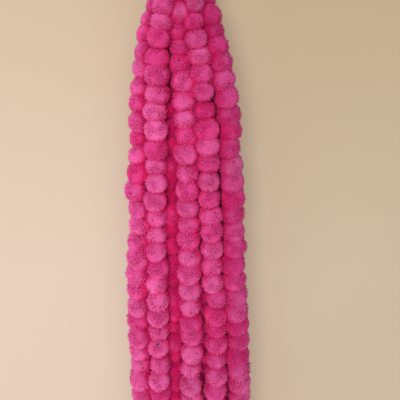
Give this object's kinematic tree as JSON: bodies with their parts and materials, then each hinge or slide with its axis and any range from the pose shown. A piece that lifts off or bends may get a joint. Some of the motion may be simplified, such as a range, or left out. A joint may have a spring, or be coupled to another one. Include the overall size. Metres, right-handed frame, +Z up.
{
  "type": "marigold garland",
  "caption": "Hanging bundle of pink pom-pom marigold garlands, each strung on a thread, all tied under one cord loop that goes over a hook.",
  "frame": {"origin": "the point inside the top of the hanging loop that bears on the hook", "axes": "+Z up, along the hanging strings; the front of the bundle faces -Y; +X is to the right seen from the front"},
  "size_m": [0.277, 0.1119, 1.6106],
  "materials": {
    "marigold_fibre": "matte, cut fibre pile",
    "string_thread": "matte twisted cotton thread",
    "tie_cord": "matte twisted cotton cord"
  },
  "bodies": {
    "root": {"hanging_loop": "tie_cord", "gathering_knot": "tie_cord", "thread_whipping": "tie_cord", "string_01_flowers": "marigold_fibre", "string_01_thread": "string_thread", "string_01_top_knot": "string_thread", "string_01_end_knot": "string_thread", "string_02_flowers": "marigold_fibre", "string_02_thread": "string_thread", "string_02_top_knot": "string_thread", "string_02_end_knot": "string_thread", "string_03_flowers": "marigold_fibre", "string_03_thread": "string_thread", "string_03_top_knot": "string_thread", "string_03_end_knot": "string_thread", "string_04_flowers": "marigold_fibre", "string_04_thread": "string_thread", "string_04_top_knot": "string_thread", "string_04_end_knot": "string_thread", "string_05_flowers": "marigold_fibre", "string_05_thread": "string_thread", "string_05_top_knot": "string_thread", "string_05_end_knot": "string_thread", "string_06_flowers": "marigold_fibre", "string_06_thread": "string_thread", "string_06_top_knot": "string_thread", "string_06_end_knot": "string_thread", "string_07_flowers": "marigold_fibre", "string_07_thread": "string_thread", "string_07_top_knot": "string_thread", "string_07_end_knot": "string_thread", "string_08_flowers": "marigold_fibre", "string_08_thread": "string_thread", "string_08_top_knot": "string_thread", "string_08_end_knot": "string_thread"}
  },
  "joints": []
}
